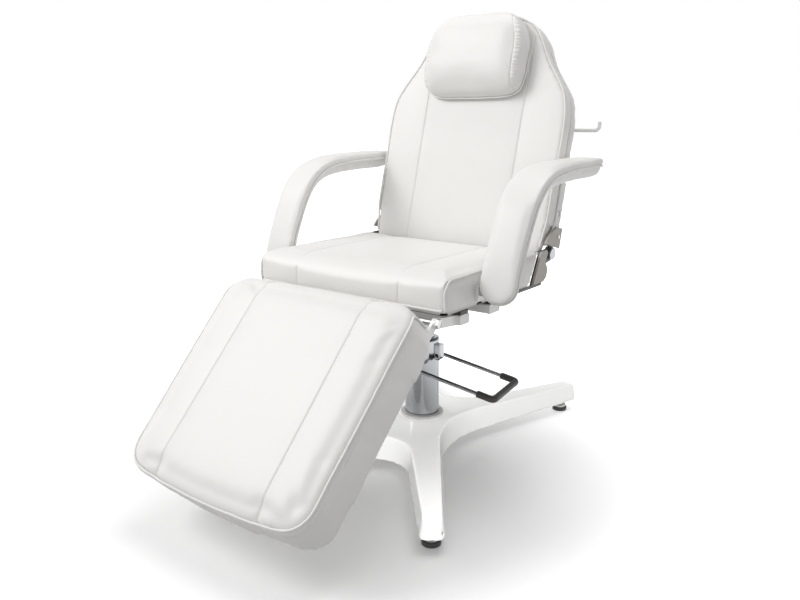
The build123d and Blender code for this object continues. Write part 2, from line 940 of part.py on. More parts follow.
def shifted(out):
    """The armrest's edge line moved outwards by a distance."""
    moved = []
    for i in range(len(arm_path)):
        a = arm_path[max(i - 1, 0)]
        b = arm_path[min(i + 1, len(arm_path) - 1)]
        run = hypot(b[0] - a[0], b[1] - a[1])
        normal = ((a[1] - b[1]) / run, (b[0] - a[0]) / run)
        moved.append((arm_path[i][0] + out * normal[0], arm_path[i][1] + out * normal[1]))
    return moved


def arm_band(x_low, x_high, inner, outer):
    """A bent band between two shifted edge lines, added to the part being built."""
    low_line = shifted(inner)
    top_line = shifted(outer)
    with BuildSketch(side(x_low)) as band:
        with BuildLine() as edge:
            Spline(*low_line)
            Spline(*top_line)
            Line(low_line[0], top_line[0])
            Line(low_line[-1], top_line[-1])
        make_face(edge.edges())
    extrude(band.sketch, amount=x_high - x_low)


def round_ends(part, radius):
    """Round the rear end and the foot of an armrest band, seen along its thickness."""
    ends = part.edges().filter_by(GeomType.LINE).filter_by(lambda e: abs(e.tangent_at(0).X) < 0.1)
    fillet(ends, radius=radius)


arms = {}
for name, way in (("left", 1), ("right", -1)):
    low = arm_in if way == 1 else -arm_in - arm_width
    with BuildPart() as arm_pad:
        arm_band(low, low + arm_width, 0, arm_crown)
        round_ends(arm_pad, 44)
    with BuildPart() as arm_core:
        arm_band(low + 8, low + arm_width - 8, -core_thick, 0)
        round_ends(arm_core, 38)
    stub_box = Pos(way * (socket_in + 6), socket_y, socket_z) * Box(
        arm_in + 8 - socket_in - 6,
        stub_size,
        stub_size,
        align=(Align.MIN if way == 1 else Align.MAX, Align.CENTER, Align.CENTER),
    )
    with BuildPart() as arm_cover:
        arm_band(low + 3, low + arm_width - 3, -arm_base, -core_thick)
        round_ends(arm_cover, 42)
        add(stub_box, mode=deep)
    with BuildPart() as arm_stub:
        add(stub_box)
        add(arm_core.part, mode=deep)
    for piece, solid in (
        ("arm_pad", arm_pad),
        ("arm_core", arm_core),
        ("arm_cover", arm_cover),
        ("arm_stub", arm_stub),
    ):
        solid.part.label = f"{piece}_{name}"
        arms[solid.part.label] = solid

# ============================================================ files
pieces = [
    base_casting,
    foot_pads,
    foot_studs,
    column_collar,
    column_tube,
    pump_foot,
    pump_barrel,
    pump_head,
    valve_housing,
    pedal_bosses,
    pedal_rods,
    pedal_grip,
    swivel_collar,
    ram,
    ram_piston,
    mount_plate,
    ram_socket,
    frame_rails,
    mount_bolts,
    front_cross_tube,
    rear_cross_tube,
    tail_cross_tube,
    tube_plugs,
    seat_buffers,
    seat_underplate,
    seat_board,
    arm_sockets,
    seat_cushion,
    rear_brackets,
    bracket_covers,
    pivot_bolts,
    pivot_caps,
    back_hinge_arms,
    back_cross_bar,
    back_cushion,
    back_board,
    back_rear_pad,
    hinge_covers,
    cover_screws,
    roll_bar,
    bar_brackets,
    bar_screws,
    pillow,
    pillow_tapes,
    legrest_brackets,
    legrest_shaft,
    shaft_nuts,
    legrest_hinge_arms,
    legrest_board,
    legrest_cushion,
    legrest_screws,
    *arms.values(),
]
for piece in pieces:
    export_step(piece.part, f"parts/{piece.part.label}.step")
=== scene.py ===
import bpy, json, math
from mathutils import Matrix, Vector, noise
from mathutils.bvhtree import BVHTree
from mathutils.kdtree import KDTree


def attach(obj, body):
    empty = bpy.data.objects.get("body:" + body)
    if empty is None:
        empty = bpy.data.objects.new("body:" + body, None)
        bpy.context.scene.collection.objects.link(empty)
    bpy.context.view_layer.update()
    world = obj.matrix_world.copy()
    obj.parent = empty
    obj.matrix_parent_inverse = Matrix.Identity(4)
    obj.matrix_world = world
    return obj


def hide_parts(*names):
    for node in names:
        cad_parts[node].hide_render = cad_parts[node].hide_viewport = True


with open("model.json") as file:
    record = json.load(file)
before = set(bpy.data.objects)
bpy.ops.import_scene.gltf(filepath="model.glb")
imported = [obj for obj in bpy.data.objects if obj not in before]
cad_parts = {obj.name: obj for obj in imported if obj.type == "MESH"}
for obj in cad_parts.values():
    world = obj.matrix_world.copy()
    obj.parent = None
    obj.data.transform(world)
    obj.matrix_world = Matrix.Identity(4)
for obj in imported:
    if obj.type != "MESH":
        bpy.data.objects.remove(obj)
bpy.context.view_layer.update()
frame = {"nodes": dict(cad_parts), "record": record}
nodes = frame["nodes"]
scene = bpy.context.scene
print("frame loaded")

# lines of the chair that the soft pieces follow, metres and degrees
chair = {
    "seatHalf": 0.3085, "seatFront": -0.340, "seatTop": 0.598,
    "seamOut": 0.166, "backY": 0.145, "backZ": 0.598, "backLean": 15,
    "legY": -0.356, "legZ": 0.498, "legDrop": 46, "legLength": 0.570,
    "legFace": 0.096, "legFootHalf": 0.2945, "legBow": 0.020,
}


def onlySelect(*things):
    if bpy.context.mode != "OBJECT":
        bpy.ops.object.mode_set(mode="OBJECT")
    bpy.ops.object.select_all(action="DESELECT")
    for thing in things:
        thing.select_set(True)
    if things:
        bpy.context.view_layer.objects.active = things[0]


def backPoint(x, up, behind):
    lean = math.radians(chair["backLean"])
    return Vector((x, chair["backY"] + up * math.sin(lean) + behind * math.cos(lean),
                   chair["backZ"] + up * math.cos(lean) - behind * math.sin(lean)))


def backPlace(point):
    lean = math.radians(chair["backLean"])
    y, z = point.y - chair["backY"], point.z - chair["backZ"]
    return y * math.sin(lean) + z * math.cos(lean), y * math.cos(lean) - z * math.sin(lean)


def legPoint(x, down, front):
    drop = math.radians(chair["legDrop"])
    return Vector((x, chair["legY"] - down * math.cos(drop) - front * math.sin(drop),
                   chair["legZ"] - down * math.sin(drop) + front * math.cos(drop)))


def legPlace(point):
    drop = math.radians(chair["legDrop"])
    y, z = point.y - chair["legY"], point.z - chair["legZ"]
    return -y * math.cos(drop) - z * math.sin(drop), -y * math.sin(drop) + z * math.cos(drop)


def clamp(value, low, high):
    return max(low, min(high, value))


def copyNodes(title, *names):
    onlySelect()
    parts = []
    for name in names:
        part = bpy.data.objects.new(title, nodes[name].data.copy())
        scene.collection.objects.link(part)
        part.select_set(True)
        parts.append(part)
    piece = parts[0]
    bpy.context.view_layer.objects.active = piece
    if len(parts) > 1:
        bpy.ops.object.join()
    piece.name = title
    piece.data.name = title
    piece.data.materials.clear()
    bpy.ops.object.mode_set(mode="EDIT")
    bpy.ops.mesh.select_all(action="SELECT")
    bpy.ops.mesh.remove_doubles(threshold=0.00001)
    bpy.ops.object.mode_set(mode="OBJECT")
    return piece


def remesh(piece, voxel):
    onlySelect(piece)
    bpy.ops.object.modifier_add(type="REMESH")
    piece.modifiers[-1].mode = "VOXEL"
    piece.modifiers[-1].voxel_size = voxel
    bpy.ops.object.modifier_apply(modifier=piece.modifiers[-1].name)


def smooth(piece, factor, rounds):
    onlySelect(piece)
    bpy.ops.object.modifier_add(type="SMOOTH")
    piece.modifiers[-1].factor = factor
    piece.modifiers[-1].iterations = rounds
    bpy.ops.object.modifier_apply(modifier=piece.modifiers[-1].name)


def reshape(piece, move):
    # move gets a point and its outward direction and returns the new point
    mesh = piece.data
    outward = [v.normal.copy() for v in mesh.vertices]
    for v in mesh.vertices:
        v.co = move(v.co.copy(), outward[v.index])
    mesh.update()


# foam swells inside its cover, as far as the cap lets it
stuffing = {"pressure": 4.0, "frames": 20, "tension": 15, "bending": 0.6, "quality": 4}


def puff(piece, values, rests, rounds=8):
    # rests says which points are held; cap and pull limit how far a point moves out and in
    cap = values["cap"]
    reshape(piece, lambda point, out: point - out * values["inset"])
    remesh(piece, values["voxel"])
    mesh = piece.data
    start = [v.co.copy() for v in mesh.vertices]
    faces = [v.normal.copy() for v in mesh.vertices]
    held = piece.vertex_groups.new(name="held")
    held.add([v.index for v in mesh.vertices if rests(v.co)], 1.0, "REPLACE")
    onlySelect(piece)
    bpy.ops.object.modifier_add(type="CLOTH")
    cloth = piece.modifiers[-1].settings
    cloth.quality = stuffing["quality"]
    cloth.use_pressure = True
    cloth.uniform_pressure_force = stuffing["pressure"]
    cloth.tension_stiffness = stuffing["tension"]
    cloth.compression_stiffness = stuffing["tension"]
    cloth.bending_stiffness = stuffing["bending"]
    cloth.vertex_group_mass = "held"
    cloth.effector_weights.gravity = 0
    for step in range(1, stuffing["frames"] + 1):
        scene.frame_set(step)
    bpy.ops.object.modifier_apply(modifier=piece.modifiers[-1].name)
    scene.frame_set(1)
    for v in piece.data.vertices:
        moved = v.co - start[v.index]
        sunk = -moved.dot(faces[v.index]) - values["pull"]
        if sunk > 0:
            moved += faces[v.index] * sunk
        # the cap sets in gently, so that no ridge shows where it starts
        reach = max(moved.length, 0.00001)
        v.co = start[v.index] + moved * (cap * math.tanh(reach / cap) / reach)
    piece.vertex_groups.clear()
    smooth(piece, 0.5, rounds)
    onlySelect(piece)
    bpy.ops.object.modifier_add(type="SUBSURF")
    piece.modifiers[-1].levels = 1
    piece.modifiers[-1].render_levels = 1
    bpy.ops.object.modifier_apply(modifier=piece.modifiers[-1].name)
    bpy.ops.object.shade_smooth()


def cutLoops(piece, places, along):
    # extra edge loops, so that a seam has crisp sides
    onlySelect(piece)
    bpy.ops.object.mode_set(mode="EDIT")
    for place in places:
        bpy.ops.mesh.select_all(action="SELECT")
        bpy.ops.mesh.bisect(plane_co=place, plane_no=along)
    bpy.ops.object.mode_set(mode="OBJECT")


# the two long seams: a narrow stitched groove in the middle of a broad shallow dip
seam = {"depth": 0.0024, "narrow": 0.0022, "dip": 0.0016, "wide": 0.020,
        "loops": (-0.0045, -0.0018, 0.0, 0.0018, 0.0045)}


def seamLoops(piece):
    places = [(side * chair["seamOut"] + o, 0, 0) for side in (-1, 1) for o in seam["loops"]]
    cutLoops(piece, places, (1, 0, 0))


def seamDepth(off):
    return (seam["depth"] * math.exp(-(off / seam["narrow"]) ** 2)
            + seam["dip"] * math.exp(-(off / seam["wide"]) ** 2))


def crease(point, scale, stretch):
    return noise.noise(Vector((point.x * scale * stretch[0], point.y * scale * stretch[1],
                               point.z * scale * stretch[2])))


def puckers(point, broad, fine):
    # the small folds of a cover that is pulled tight over a gusset
    return 1.2 + 1.6 * crease(point, *broad) + 0.7 * crease(point, *fine)


# stand is the share of its radius that the piping stands off the pad, drawIn the dent beside it
pipingValues = {"stand": 0.5, "step": 0.006, "drawIn": 0.0022, "drawWide": 0.0055, "drawReach": 0.016}


def piping(title, points, surface, radius, closed=False, ease=3):
    # a covered cord sewn in along an edge of the pad: it lies on the pad's own surface
    v = pipingValues
    tree = BVHTree.FromObject(surface, bpy.context.evaluated_depsgraph_get())
    line = []
    for point in points:
        near, out = tree.find_nearest(point)[:2]
        line.append(near + out * radius * v["stand"])
    for turn in range(ease):
        last = len(line)
        eased = []
        for i in range(last):
            if not closed and i in (0, last - 1):
                eased.append(line[i])
            else:
                eased.append((line[i - 1] + line[i] * 2 + line[(i + 1) % last]) / 4)
        line = eased
    # the pad is drawn in along the stitching beside it
    stitches = KDTree(len(line))
    for i, place in enumerate(line):
        stitches.insert(place, i)
    stitches.balance()

    def draw(p, out):
        gap = stitches.find(p)[2]
        if gap >= v["drawReach"]:
            return p
        return p - out * v["drawIn"] * math.exp(-(gap / v["drawWide"]) ** 2)

    reshape(surface, draw)
    onlySelect()
    bpy.ops.curve.primitive_nurbs_path_add()
    piece = bpy.context.active_object
    piece.name = title
    piece.data.splines.clear()
    spline = piece.data.splines.new("POLY")
    spline.points.add(len(line) - 1)
    for knot, place in zip(spline.points, line):
        knot.co = (*place, 1)
    spline.use_cyclic_u = closed
    piece.data.dimensions = "3D"
    piece.data.bevel_depth = radius
    piece.data.bevel_resolution = 3
    piece.data.use_fill_caps = not closed
    bpy.ops.object.convert(target="MESH")
    piece = bpy.context.active_object
    piece.data.name = title
    bpy.ops.object.shade_smooth()
    return piece


def spaced(corners, step=pipingValues["step"]):
    # points every step along a line of corners
    line = [corners[0]]
    for a, b in zip(corners, corners[1:]):
        count = max(1, round((b - a).length / step))
        line += [a.lerp(b, (i + 1) / count) for i in range(count)]
    return line


def mirrored(run):
    # the same run on the chair's other side, from the middle outwards
    return [Vector((-p.x, p.y, p.z)) for p in reversed(run[:-1])]


def arc(centre, radius, start, end, count, place):
    # place turns two flat numbers into a point of the chair
    return [place(centre[0] + radius * math.cos(math.radians(start + (end - start) * i / count)),
                  centre[1] + radius * math.sin(math.radians(start + (end - start) * i / count)))
            for i in range(count + 1)]


# seat pad, with the skirt of its cover that hides the board
seatValues = {
    "voxel": 0.0074, "inset": 0.002, "cap": 0.010, "pull": 0.002, "cord": 0.0030,
    "skirtFront": -0.3372, "skirtBack": 0.079, "skirtLow": 0.5104, "skirtHigh": 0.566,
    "skirtIn": 0.003, "skirtRound": 0.006,
    "stapled": 0.519,  # the cover doesn't swell below this height
    "seamLow": 0.515, "gussetLow": 0.508, "gussetHigh": 0.588, "wrinkle": 0.0016,
    "nose": 0.046, "noseCrown": 0.018,  # the nose's roll at the sides, and how much more in the middle
    "rimHeight": 0.516, "rimSide": 0.297, "rimFront": -0.328, "rimBack": 0.070, "rimDrop": 0.0055,
    "side": 0.3105, "front": -0.3425, "back": 0.0765, "backSlope": 0.54, "backFrom": 0.522,
    "lid": 0.6105, "lidFrom": 0.02, "lidSlope": 0.115,
    "pipingBack": 0.108, "pipingLow": 0.513, "hemHeight": 0.5165, "hemIn": 0.012, "hemCord": 0.0034,
}


def addSkirt(pad):
    v = seatValues
    deep, tall = v["skirtBack"] - v["skirtFront"], v["skirtHigh"] - v["skirtLow"]
    middle = (0, (v["skirtFront"] + v["skirtBack"]) / 2, (v["skirtLow"] + v["skirtHigh"]) / 2)
    onlySelect()
    bpy.ops.mesh.primitive_cube_add(size=1, location=middle,
                                    scale=(2 * (chair["seatHalf"] - v["skirtIn"]), deep, tall))
    skirt = bpy.context.active_object
    bpy.ops.object.transform_apply(location=True, rotation=True, scale=True)
    bpy.ops.object.mode_set(mode="EDIT")
    bpy.ops.mesh.select_all(action="SELECT")
    bpy.ops.mesh.bevel(offset=v["skirtRound"], segments=2)
    bpy.ops.object.mode_set(mode="OBJECT")
    onlySelect(pad, skirt)
    bpy.ops.object.join()


def shapeSeat(p, out):
    v = seatValues
    if out.z > 0.3 or (out.y < -0.3 and out.z > -0.6):
        p -= out * seamDepth(abs(p.x) - chair["seamOut"]) * clamp((p.z - v["seamLow"]) / 0.02, 0, 1)
    if abs(out.x) > 0.6 and p.z < v["gussetHigh"]:
        low = clamp((p.z - v["gussetLow"]) / 0.02, 0, 1)
        folds = puckers(p, (16, (1, 1.7, 0.6)), (42, (1, 1.5, 0.5)))
        p.x -= math.copysign(low * v["wrinkle"] * folds, p.x)
    # the nose rolls over more in the middle than at the sides
    roll = v["nose"] + v["noseCrown"] * (1 - (p.x / 0.312) ** 2)
    y, z = p.y - chair["seatFront"] - roll, p.z - chair["seatTop"] - 0.004 + roll
    if y < 0 < z and math.hypot(y, z) > roll:
        p.y += y * (roll / math.hypot(y, z) - 1)
        p.z += z * (roll / math.hypot(y, z) - 1)
    # the rim of the skirt hangs just below the board
    if p.z < v["rimHeight"] and (abs(p.x) > v["rimSide"] or p.y < v["rimFront"] or p.y > v["rimBack"]):
        p.z -= v["rimDrop"]
    p.x = clamp(p.x, -v["side"], v["side"])
    p.y = clamp(p.y, v["front"], v["back"] + (max(p.z, v["backFrom"]) - v["backFrom"]) * v["backSlope"])
    p.z = min(p.z, v["lid"] - max(p.y - v["lidFrom"], 0) * v["lidSlope"])
    return p


def seatPipingRun(sign):
    # over the top, round the nose and down the front corner
    v = seatValues
    side, nose = sign * (chair["seatHalf"] - 0.001), v["nose"]
    top, front = chair["seatTop"], chair["seatFront"]
    run = spaced([Vector((side, v["pipingBack"], top)), Vector((side, front + nose, top))])
    run += arc((front + nose, top - nose), nose, 90, 180, 13, lambda y, z: Vector((side, y, z)))[1:]
    return run + spaced([Vector((side, front, top - nose - 0.004)), Vector((side, front, v["pipingLow"]))])


seatPad = copyNodes("seatPad", "seat_cushion")
addSkirt(seatPad)
puff(seatPad, seatValues, lambda p: p.z < seatValues["stapled"])
seamLoops(seatPad)
reshape(seatPad, shapeSeat)
seatCords = [piping("seatPiping_" + name, seatPipingRun(sign), seatPad, seatValues["cord"])
             for name, sign in (("left", 1), ("right", -1))]
hemEnd = chair["seatHalf"] - seatValues["hemIn"]
hemRun = spaced([Vector((x, chair["seatFront"] - 0.01, seatValues["hemHeight"])) for x in (-hemEnd, hemEnd)],
                0.01)
seatCords.append(piping("seatHem", hemRun, seatPad, seatValues["hemCord"]))
print("seat pad done")

# leg pad
legValues = {
    "voxel": 0.0074, "inset": 0.002, "cap": 0.010, "pull": 0.002, "cord": 0.0030,
    "stapled": 0.0185,  # the cover doesn't swell nearer to the board than this
    "wrinkle": 0.0018, "pucker": 0.0030, "gussetHigh": 0.090, "frontMost": 0.108, "ease": 0.003,
    "wrapFrom": 0.034, "wrapOver": 0.016, "wrapDeep": 0.0135, "apron": 0.018, "apronWide": 0.018,
    "footCorner": 0.072, "topRound": 0.03,
}


def legHalf(down):
    share = down / (chair["legLength"] - chair["legBow"])
    return chair["seatHalf"] + (chair["legFootHalf"] - chair["seatHalf"]) * share


def legEnd(x):
    # the foot end is bowed
    return chair["legLength"] - chair["legBow"] * (x / chair["legFootHalf"]) ** 2


def shapeLeg(p, out):
    v = legValues
    down, front = legPlace(p)
    outFront = legPlace(Vector(out) + legPoint(0, 0, 0))[1]
    if outFront > 0.3:
        off, end = abs(p.x) - chair["seamOut"], legEnd(chair["seamOut"])
        fade = clamp((end - 0.006 - down) / 0.02, 0, 1)
        # the seams pucker where they run into the foot piping
        pucker = v["pucker"] * math.exp(-((down - end + 0.02) / 0.016) ** 2)
        p -= out * (seamDepth(off) * fade + pucker * math.exp(-(off / 0.010) ** 2))
    elif front < v["gussetHigh"]:
        low = clamp((front - 0.012) / 0.02, 0, 1)
        p -= out * low * v["wrinkle"] * puckers(p, (15, (1.4, 1, 1)), (38, (1.5, 1, 1)))
    down, front = legPlace(p)
    down = clamp(down, -0.001, legEnd(p.x) + 0.004)
    # the cover is drawn round the board below it
    low = clamp((v["wrapFrom"] - front) / v["wrapOver"], 0, 1)
    front = max(front - v["wrapDeep"] * low, 0.0004)
    # round the edge it hangs lower than the board, clear of the hinge at the top
    corner = v["footCorner"]
    over, beyond = abs(p.x) - legHalf(down) + corner, down - legEnd(p.x) + corner
    inside = corner - math.hypot(max(over, 0), max(beyond, 0)) - min(max(over, beyond), 0)
    rim = clamp((v["apronWide"] - inside) / 0.006, 0, 1)
    front -= v["apron"] * low * rim * clamp((down - 0.014) / 0.03, 0, 1)
    half = legHalf(down) + v["ease"]
    return legPoint(clamp(p.x, -half, half), down, min(front, v["frontMost"]))


def legPipingRun():
    # one half: from the board up the top corner, down the side, round the foot corner to the middle
    face, corner, turn = chair["legFace"] - 0.001, legValues["footCorner"], legValues["topRound"]
    top, sideEnd = legHalf(0), chair["legLength"] - corner
    run = spaced([legPoint(top, 0.0, 0.016), legPoint(top, 0.0, face - turn)])
    run += arc((turn, face - turn), turn, 180, 90, 10, lambda d, f: legPoint(top, d, f))[1:]
    run += spaced([legPoint(top, turn + 0.005, face),
                   legPoint(legHalf(sideEnd), sideEnd - chair["legBow"], face)])
    run += arc((chair["legFootHalf"] - corner, sideEnd - chair["legBow"] + 0.002), corner, 0, 80, 18,
               lambda x, d: legPoint(x, d, face))
    run += [legPoint(x, legEnd(x), face) for x in [0.222 - 0.006 * i for i in range(38)]]
    return run + mirrored(run)


legPad = copyNodes("legPad", "legrest_cushion")
puff(legPad, legValues, lambda p: legPlace(p)[1] < legValues["stapled"])
seamLoops(legPad)
reshape(legPad, shapeLeg)
legCords = [piping("legPiping", legPipingRun(), legPad, legValues["cord"])]
print("leg pad done")

# back pad: the outline is half the width at each height up the back
backValues = {
    "voxel": 0.0074, "inset": 0.001, "cap": 0.009, "pull": 0.0015, "cord": 0.0030, "wrinkle": 0.0012,
    "seamTop": 0.60, "join": 0.052, "joinDeep": 0.0035, "joinWide": 0.005,
    "hang": 0.013, "hangFrom": 0.040, "frontDepth": 0.034, "lowFront": -0.021, "lowRear": 0.0135,
    "flat": 0.008, "frontMost": -0.001, "rearMost": 0.098,
    # how wide it may be from each height up, to clear the hinge plates; and the rear pad's foot
    "room": ((0.078, 0.306), (0.060, 0.2965), (-1.0, 0.2905)), "rearFoot": (0.026, 0.024, 0.281),
    "plateLow": 0.070, "plateHigh": 0.20, "plateSide": 0.2932,
    "outline": [(0.286, 0.006), (0.2905, 0.023), (0.293, 0.080), (0.298, 0.176), (0.303, 0.300),
                (0.300, 0.380), (0.287, 0.433), (0.255, 0.482), (0.212, 0.548), (0.186, 0.600),
                (0.159, 0.632), (0.114, 0.655), (0.060, 0.671), (0.0, 0.677)],
}


def backRoom(up, behind):
    deep, low, narrow = backValues["rearFoot"]
    if behind > deep and up < low:
        return narrow
    return next(wide for height, wide in backValues["room"] if up >= height)


def shapeBack(p, out):
    v = backValues
    up, behind = backPlace(p)
    outBehind = backPlace(Vector(out) + backPoint(0, 0, 0))[1]
    sewn = 0.0
    if outBehind < -0.3:
        sewn = seamDepth(abs(p.x) - chair["seamOut"]) * clamp((v["seamTop"] - up) / 0.02, 0, 1)
    elif abs(outBehind) < 0.5:
        p -= out * v["wrinkle"] * (1.0 + 1.5 * crease(p, 14, (1, 1, 1.4)))
        # the cover is drawn in where the front cushion meets the rear pad
        p -= out * v["joinDeep"] * math.exp(-((behind - v["join"]) / v["joinWide"]) ** 2)
    up, behind = backPlace(p)
    # the front cover hangs a little lower than the foam and closes the gap to the seat
    up -= (v["hang"] * clamp((v["hangFrom"] - up) / 0.030, 0, 1)
           * clamp((v["frontDepth"] - behind) / 0.010, 0, 1))
    up = max(up, v["lowFront"] if behind < v["frontDepth"] else v["lowRear"])
    room = backRoom(up, behind)
    # the front stays nearly flat, because the pillow slides down it
    front = behind + 0.001
    if front < v["flat"]:
        front = v["flat"] * math.exp((front - v["flat"]) / v["flat"])
    across = clamp(abs(p.x), 0, room)
    if v["plateLow"] < up < v["plateHigh"] and abs(out.x) > 0.5:
        across = max(across, min(v["plateSide"], room))
    return backPoint(math.copysign(across, p.x), up,
                     clamp(front - 0.001 + sewn, v["frontMost"], v["rearMost"]))


def backPipingRun(behind, grow):
    run = spaced([backPoint(half + grow, up, behind) for half, up in backValues["outline"]])
    return run + mirrored(run)


backPad = copyNodes("backPad", "back_cushion", "back_board", "back_rear_pad")
puff(backPad, backValues, lambda p: False)
seamLoops(backPad)
reshape(backPad, shapeBack)
backCords = [piping("backPipingFront", backPipingRun(0.001, 0.002), backPad, backValues["cord"], ease=16),
             piping("backPipingRear", backPipingRun(0.0525, 0.004), backPad, backValues["cord"], ease=16)]
print("back pad done")

# pillow, strapped to the back by two hook tapes
pillowValues = {
    "voxel": 0.005, "inset": 0.004, "cap": 0.016, "pull": 0.003, "cord": 0.0024,
    "half": 0.168, "low": 0.417, "lowMost": 0.412, "highMost": 0.670, "rear": -0.012, "corner": 0.05,
    "sideSeam": 0.026, "seamLoops": (-0.0018, 0, 0.0018), "seamDeep": 0.0022, "seamWide": 0.0024,
    "gather": 0.0011, "sag": 0.0035, "sagUp": 0.478, "crease": 0.0016,
    "taperFrom": 0.535, "taperOver": 0.126, "topNarrow": 0.30, "topThin": 0.28,
    "slantFrom": 0.512, "slantOver": 0.095, "lowThin": 0.42, "dome": 0.050, "domeMore": 0.030,
}


def shapePillow(p, out):
    v = pillowValues
    up, behind = backPlace(p)
    if behind < v["rear"]:
        off = abs(p.x) - (v["half"] - v["sideSeam"])
        p -= out * v["seamDeep"] * math.exp(-(off / v["seamWide"]) ** 2)
        gathers = math.sin(up * 620 + 2.2 * math.sin(up * 90)) * math.exp(-((off - 0.006) / 0.009) ** 2)
        p += out * v["gather"] * gathers * clamp(off / 0.004 + 0.4, 0, 1)
        sag = math.exp(-((up - v["sagUp"]) / 0.03) ** 2) * math.exp(-((p.x + 0.02) / 0.10) ** 2)
        p -= out * (v["sag"] * sag + v["crease"] * crease(p, 15, (1, 1, 1.6)))
    up, behind = backPlace(p)
    # the top is narrower and thinner than the bottom
    taper = clamp((up - v["taperFrom"]) / v["taperOver"], 0, 1) ** 2
    behind *= 1 - v["topThin"] * taper
    # the stuffing sits high, so the lower front slants back
    behind *= 1 - v["lowThin"] * clamp((v["slantFrom"] - up) / v["slantOver"], 0, 1) ** 2
    # the front stays domed up to its greatest depth
    if behind < -v["dome"]:
        behind = -v["dome"] - v["domeMore"] * math.tanh((-behind - v["dome"]) / v["domeMore"])
    return backPoint(p.x * (1 - v["topNarrow"] * taper), clamp(up, v["lowMost"], v["highMost"]),
                     clamp(behind, -v["dome"] - v["domeMore"], -0.0015))


def pillowPipingRun():
    # half of the lower edge: down the side, round the corner, along the bottom
    low, half, turn, rear = (pillowValues[key] for key in ("low", "half", "corner", "rear"))
    run = spaced([backPoint(half, low + 0.12, rear), backPoint(half, low + 0.06, rear)])
    run += arc((half - turn, low + turn), turn, 0, -90, 14, lambda x, up: backPoint(x, up, rear))
    run += spaced([backPoint(half - turn - 0.01, low, rear), backPoint(0, low, rear)])
    return run + mirrored(run)


pillowPad = copyNodes("pillowPad", "pillow")
puff(pillowPad, pillowValues, lambda p: backPlace(p)[1] > pillowValues["rear"], rounds=36)
cutLoops(pillowPad, [(side * (pillowValues["half"] - pillowValues["sideSeam"]) + o, 0, 0)
                     for side in (-1, 1) for o in pillowValues["seamLoops"]], (1, 0, 0))
reshape(pillowPad, shapePillow)
pillowCords = [piping("pillowPiping", pillowPipingRun(), pillowPad, pillowValues["cord"])]
print("pillow done")

# arm pads: edge is the line that the piping follows, from the foot to the rear tip
armValues = {
    "voxel": 0.0042, "inset": 0.0005, "cap": 0.004, "pull": 0.001, "cord": 0.0028,
    "inner": 0.314, "outer": 0.412, "slope": 0.62,
    "tipRun": 0.040, "tipPast": 0.012, "tipThin": 0.06,  # the rear end thins over this run, to this share
    "easeIn": 0.0015, "easeOut": 0.003, "footTurn": 0.046, "tipTurn": 0.060, "sideSteps": 130,
    "edge": [(-0.209, 0.523), (-0.205, 0.538), (-0.186, 0.606), (-0.164, 0.661), (-0.140, 0.712),
             (-0.112, 0.756), (-0.074, 0.789), (-0.026, 0.808), (0.054, 0.818), (0.160, 0.822),
             (0.285, 0.824)],
}


def armLine():
    # the edge line, smoothed, as points with their run from the foot
    line = [Vector((0, y, z)) for y, z in armValues["edge"]]
    for turn in range(2):
        eased = [line[0]]
        for a, b in zip(line, line[1:]):
            eased += [a.lerp(b, 0.25), a.lerp(b, 0.75)]
        line = eased + [line[-1]]
    total, rows = 0.0, [(0.0, line[0])]
    for a, b in zip(line, line[1:]):
        total += (b - a).length
        rows.append((total, b))
    return rows


def armAt(rows, along):
    for (a, p), (b, q) in zip(rows, rows[1:]):
        if along <= b:
            return p.lerp(q, clamp((along - a) / (b - a), 0, 1))
    return rows[-1][1]


def armPlace(rows, p):
    # where a point lies: its run from the foot, the edge line there, and the direction out of the pad
    best = None
    for (a, low), (b, high) in zip(rows, rows[1:]):
        step = high - low
        share = clamp(((p.y - low.y) * step.y + (p.z - low.z) * step.z) / step.length_squared, 0, 1)
        spot = low.lerp(high, share)
        gap = (p.y - spot.y) ** 2 + (p.z - spot.z) ** 2
        if best is None or gap < best[0]:
            best = (gap, a + (b - a) * share, spot, Vector((0, -step.z, step.y)).normalized())
    return best[1:]


def armPipingPoints(rows, sign):
    # one closed loop: up the outer edge, round the tip, down the inner edge, round the foot
    v = armValues
    total, foot, tip, count = rows[-1][0], v["footTurn"], v["tipTurn"], v["sideSteps"]
    middle, halfWide = (v["inner"] + v["outer"]) / 2, (v["outer"] - v["inner"]) / 2
    turns = [math.radians(a) for a in range(6, 175, 6)]
    loop = [(halfWide, foot + (total - foot - tip) * i / count) for i in range(count + 1)]
    loop += [(halfWide * math.cos(a), total - tip + tip * math.sin(a)) for a in turns]
    loop += [(-halfWide, total - tip - (total - foot - tip) * i / count) for i in range(count + 1)]
    loop += [(-halfWide * math.cos(a), foot - foot * math.sin(a)) for a in turns]
    points = []
    for across, along in loop:
        place = armAt(rows, along)
        points.append(Vector((sign * (middle + across), place.y, place.z)))
    return points


